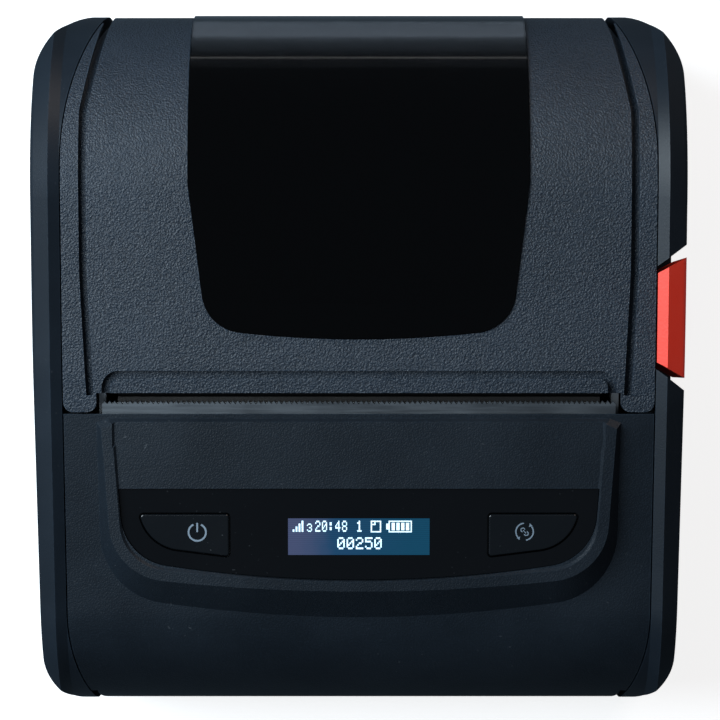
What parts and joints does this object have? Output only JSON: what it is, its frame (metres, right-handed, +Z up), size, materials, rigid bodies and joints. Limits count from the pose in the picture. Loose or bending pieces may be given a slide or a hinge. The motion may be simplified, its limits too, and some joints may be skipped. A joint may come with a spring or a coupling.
{
  "type": "portable label printer",
  "caption": "Hand-held label printer whose rear cover swings open over a roll bay, with a tear bar, side bumpers, a release button and a small display between its keys.",
  "frame": {"origin": "middle of the footprint, on the surface that the rubber feet stand on", "axes": "+X to the printer's right as seen by someone reading its display, +Y towards the cover's hinge, +Z up away from the feet"},
  "size_m": [0.109, 0.1185, 0.0592],
  "materials": {
    "cover_plastic": "coarse moulded grain",
    "casing_plastic": "satin moulded grain",
    "bumper_rubber": "soft satin",
    "smoked_window": "polished",
    "panel_gloss": "polished",
    "key_gloss": "polished",
    "display": "lit display",
    "button_orange": "satin",
    "inner_plastic": "satin",
    "gear_plastic": "satin",
    "bushing_plastic": "satin",
    "blade_steel": "brushed",
    "bright_steel": "satin",
    "spring_steel": "drawn wire",
    "platen_rubber": "ground",
    "head_ceramic": "glazed",
    "aluminium": "extruded",
    "motor_can": "plated",
    "board_green": "solder mask",
    "component_black": "moulded",
    "battery_shell": "fine grain",
    "foot_rubber": "soft",
    "sensor_dark": "clear dark"
  },
  "bodies": {
    "base": {"lower_casing": "casing_plastic", "front_casing": "casing_plastic", "left_bumper": "bumper_rubber", "right_bumper": "bumper_rubber", "control_panel": "panel_gloss", "display_lens": "display", "display_module": "component_black", "display_holder": "inner_plastic", "key_board": "board_green", "key_switches": "component_black", "tear_bar": "blade_steel", "mechanism_frame": "bright_steel", "head_pivot_pin": "bright_steel", "head_springs": "spring_steel", "stepper_motor": "motor_can", "gear_studs": "bright_steel", "label_bay": "inner_plastic", "lower_sensor": "sensor_dark", "main_board": "board_green", "board_parts": "component_black", "charging_socket": "bright_steel", "hinge_pin": "bright_steel", "rubber_feet": "foot_rubber", "casing_screws": "bright_steel", "button_spring": "spring_steel"},
    "cover": {"cover_shell": "cover_plastic", "cover_window": "smoked_window", "platen_carrier": "inner_plastic", "upper_sensor": "sensor_dark", "left_bushing": "bushing_plastic", "right_bushing": "bushing_plastic"},
    "platen": {"platen_shaft": "bright_steel", "platen_rubber": "platen_rubber", "platen_gear": "gear_plastic"},
    "idler": {"idler_gear": "gear_plastic"},
    "reducer": {"reducer_gear": "gear_plastic"},
    "pinion": {"motor_pinion": "gear_plastic"},
    "open_button": {"release_button": "button_orange"},
    "latch": {"latch": "bright_steel"},
    "power_key": {"power_key": "key_gloss"},
    "feed_key": {"feed_key": "key_gloss"},
    "left_holder": {"left_roll_holder": "inner_plastic", "left_hub": "inner_plastic", "left_rack": "gear_plastic"},
    "right_holder": {"right_roll_holder": "inner_plastic", "right_hub": "inner_plastic", "right_rack": "gear_plastic"},
    "holder_pinion": {"holder_pinion": "gear_plastic"},
    "head": {"print_head": "head_ceramic", "heat_sink": "aluminium"},
    "battery": {"battery_pack": "battery_shell"}
  },
  "joints": [
    {"name": "cover_hinge", "type": "hinge", "parent": "base", "child": "cover", "pos_m": [0, 0.0556, 0.0142], "axis": [-1, 0, 0], "range_deg": [0, 95]},
    {"name": "platen_spin", "type": "hinge", "parent": "cover", "child": "platen", "pos_m": [0, -0.0013, 0.0458], "axis": [1, 0, 0], "continuous": true},
    {"name": "idler_spin", "type": "hinge", "parent": "base", "child": "idler", "pos_m": [-0.04625, -0.00664, 0.03618], "axis": [1, 0, 0], "continuous": true},
    {"name": "reducer_spin", "type": "hinge", "parent": "base", "child": "reducer", "pos_m": [-0.0454, -0.01365, 0.02905], "axis": [1, 0, 0], "continuous": true},
    {"name": "motor_spin", "type": "hinge", "parent": "base", "child": "pinion", "pos_m": [-0.0446, -0.02443, 0.03124], "axis": [1, 0, 0], "continuous": true},
    {"name": "open_button_press", "type": "slide", "parent": "base", "child": "open_button", "axis": [0, 0, -1], "range_m": [0, 0.0025], "stiffness_N_per_m": 600, "springref_m": -0.002, "deforming": ["button_spring"]},
    {"name": "latch_turn", "type": "hinge", "parent": "base", "child": "latch", "pos_m": [0, -0.0008, 0.0315], "axis": [-1, 0, 0], "range_deg": [0, 12]},
    {"name": "power_key_press", "type": "slide", "parent": "base", "child": "power_key", "axis": [0, 0.1564, -0.9877], "range_m": [0, 0.0005], "stiffness_N_per_m": 900, "springref_m": -0.0005},
    {"name": "feed_key_press", "type": "slide", "parent": "base", "child": "feed_key", "axis": [0, 0.1564, -0.9877], "range_m": [0, 0.0005], "stiffness_N_per_m": 900, "springref_m": -0.0005},
    {"name": "left_holder_slide", "type": "slide", "parent": "base", "child": "left_holder", "axis": [1, 0, 0], "range_m": [0, 0.031]},
    {"name": "right_holder_slide", "type": "slide", "parent": "base", "child": "right_holder", "axis": [-1, 0, 0], "range_m": [0, 0.031]},
    {"name": "holder_pinion_turn", "type": "hinge", "parent": "base", "child": "holder_pinion", "pos_m": [0, 0.012, 0.0044], "axis": [0, 0, 1], "range_deg": [0, 371]},
    {"name": "head_rock", "type": "hinge", "parent": "base", "child": "head", "pos_m": [0, -0.0094, 0.035], "axis": [1, 0, 0], "range_deg": [0, 1.5], "stiffness_Nm_per_rad": 8, "springref_deg": -2.86, "deforming": ["head_springs"]},
    {"name": "battery_out", "type": "slide", "parent": "base", "child": "battery", "axis": [0, 0, -1], "range_m": [0, 0.03]}
  ],
  "couplings": [
    {"joint": "idler_spin", "follows": "platen_spin", "ratio": -0.69231},
    {"joint": "reducer_spin", "follows": "platen_spin", "ratio": 1.2857},
    {"joint": "motor_spin", "follows": "platen_spin", "ratio": -3.4286},
    {"joint": "latch_turn", "follows": "open_button_press", "rad_per_m": 83.333},
    {"joint": "right_holder_slide", "follows": "left_holder_slide", "ratio": 1},
    {"joint": "holder_pinion_turn", "follows": "left_holder_slide", "rad_per_m": 208.33}
  ]
}
